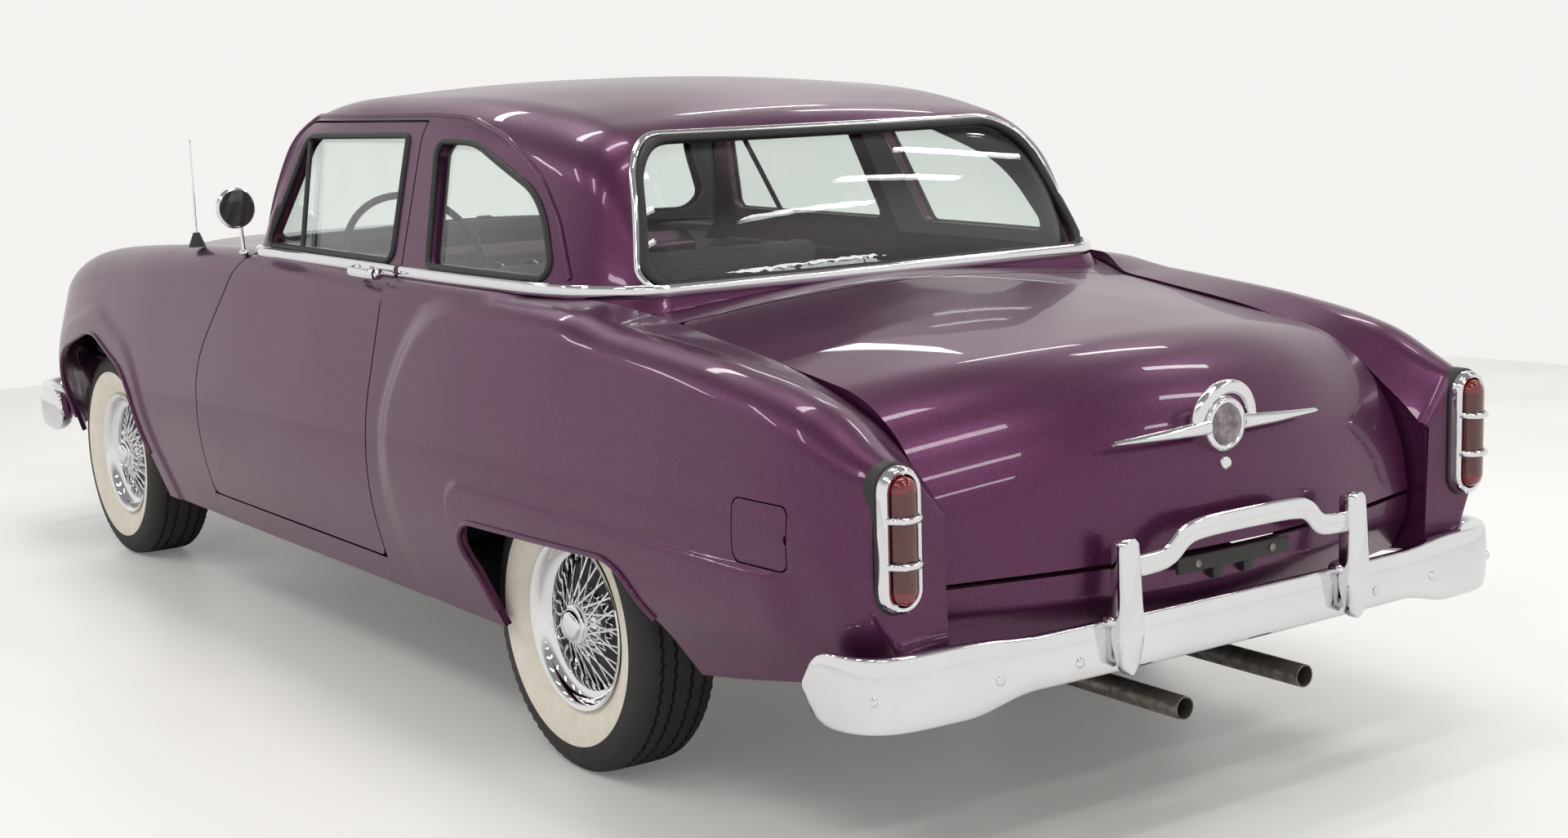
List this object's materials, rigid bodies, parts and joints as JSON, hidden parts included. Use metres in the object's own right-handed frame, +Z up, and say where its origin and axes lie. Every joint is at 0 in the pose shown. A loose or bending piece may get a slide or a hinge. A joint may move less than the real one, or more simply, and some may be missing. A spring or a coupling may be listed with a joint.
{
  "type": "club sedan",
  "caption": "Two-door club sedan of the early 1950s with bulged rear fenders, wire wheels, opening doors, bonnet, luggage lid and fuel door.",
  "frame": {"origin": "on the ground, midway along the length and width", "axes": "+X forward, +Y to the car's left, +Z up"},
  "size_m": [5.3491, 1.973, 1.6053],
  "materials": {
    "body_paint": "deep purple metallic under clear coat",
    "chrome": "polished",
    "glass": "clear",
    "underbody": "satin",
    "frame_black": "satin",
    "tyre": "black rubber with a broad pale side band",
    "engine_paint": "painted casting",
    "exhaust_steel": "dull steel",
    "red_lens": "ribbed red lens",
    "clear_lens": "fluted",
    "seat_cloth": "grey broadcloth",
    "grey_trim": "grey carpet board",
    "dark_plastic": "moulded"
  },
  "bodies": {
    "chassis": {"roof": "body_paint", "windscreen": "glass", "rear_window": "glass", "quarter_window_left": "glass", "quarter_window_right": "glass", "front_fender_left": "body_paint", "front_fender_right": "body_paint", "rocker_panels": "body_paint", "quarter_panel_left": "body_paint", "quarter_panel_right": "body_paint", "rear_deck": "body_paint", "nose_panel": "body_paint", "grille": "chrome", "cowl": "body_paint", "tail_panel": "body_paint", "floor_pan": "underbody", "chassis_frame": "frame_black", "front_suspension": "frame_black", "rear_axle": "frame_black", "leaf_springs": "frame_black", "engine": "engine_paint", "exhaust": "exhaust_steel", "fuel_tank": "frame_black", "rear_bumper": "chrome", "front_bumper": "chrome", "tail_lamp_bezels": "chrome", "tail_lamp_lenses": "red_lens", "head_lamp_bezels": "chrome", "head_lamp_lenses": "clear_lens", "front_seat": "seat_cloth", "rear_seat": "seat_cloth", "parcel_shelf": "grey_trim", "dashboard": "body_paint", "steering_column": "dark_plastic", "mirror": "chrome", "antenna": "chrome"},
    "door_left": {"door_left": "body_paint", "door_window_left": "glass"},
    "door_right": {"door_right": "body_paint", "door_window_right": "glass"},
    "trunk_lid": {"trunk_lid": "body_paint", "deck_ornament": "chrome"},
    "bonnet": {"bonnet": "body_paint"},
    "fuel_door": {"fuel_door": "body_paint"},
    "knuckle_left": {"knuckle_left": "frame_black"},
    "knuckle_right": {"knuckle_right": "frame_black"},
    "steering_wheel": {"steering_wheel": "dark_plastic"},
    "wheel_front_left": {"tyre_front_left": "tyre", "wheel_front_left": "chrome"},
    "wheel_front_right": {"tyre_front_right": "tyre", "wheel_front_right": "chrome"},
    "wheel_rear_left": {"tyre_rear_left": "tyre", "wheel_rear_left": "chrome"},
    "wheel_rear_right": {"tyre_rear_right": "tyre", "wheel_rear_right": "chrome"}
  },
  "joints": [
    {"name": "spin_front_left", "type": "hinge", "parent": "knuckle_left", "child": "wheel_front_left", "pos_m": [1.77, 0.762, 0.35], "axis": [0, 1, 0], "continuous": true},
    {"name": "spin_front_right", "type": "hinge", "parent": "knuckle_right", "child": "wheel_front_right", "pos_m": [1.77, -0.762, 0.35], "axis": [0, 1, 0], "continuous": true},
    {"name": "spin_rear_left", "type": "hinge", "parent": "chassis", "child": "wheel_rear_left", "pos_m": [-1.329, 0.771, 0.35], "axis": [0, 1, 0], "continuous": true},
    {"name": "spin_rear_right", "type": "hinge", "parent": "chassis", "child": "wheel_rear_right", "pos_m": [-1.329, -0.771, 0.35], "axis": [0, 1, 0], "continuous": true},
    {"name": "steer_left", "type": "hinge", "parent": "chassis", "child": "knuckle_left", "pos_m": [1.77, 0.69, 0.35], "axis": [0, 0, 1], "range_deg": [-30, 30]},
    {"name": "steer_right", "type": "hinge", "parent": "chassis", "child": "knuckle_right", "pos_m": [1.77, -0.69, 0.35], "axis": [0, 0, 1], "range_deg": [-30, 30]},
    {"name": "steering_wheel_turn", "type": "hinge", "parent": "chassis", "child": "steering_wheel", "pos_m": [0.262, 0.43, 1.072], "axis": [-0.8829, 0, 0.4695], "range_deg": [-540, 540]},
    {"name": "door_left_swing", "type": "hinge", "parent": "chassis", "child": "door_left", "pos_m": [0.705, 0.97, 0.64], "axis": [0, 0, -1], "range_deg": [0, 65]},
    {"name": "door_right_swing", "type": "hinge", "parent": "chassis", "child": "door_right", "pos_m": [0.705, -0.97, 0.64], "axis": [0, 0, 1], "range_deg": [0, 65]},
    {"name": "trunk_lid_lift", "type": "hinge", "parent": "chassis", "child": "trunk_lid", "pos_m": [-1.573, 0, 1.109], "axis": [0, 1, 0], "range_deg": [0, 60]},
    {"name": "bonnet_lift", "type": "hinge", "parent": "chassis", "child": "bonnet", "pos_m": [0.8, 0, 1.148], "axis": [0, -1, 0], "range_deg": [0, 50]},
    {"name": "fuel_door_swing", "type": "hinge", "parent": "chassis", "child": "fuel_door", "pos_m": [-2.177, 0.965, 0.732], "axis": [0, 0, -1], "range_deg": [0, 90]}
  ],
  "couplings": [
    {"joint": "steer_right", "follows": "steer_left", "ratio": 1},
    {"joint": "steering_wheel_turn", "follows": "steer_left", "ratio": 18}
  ]
}
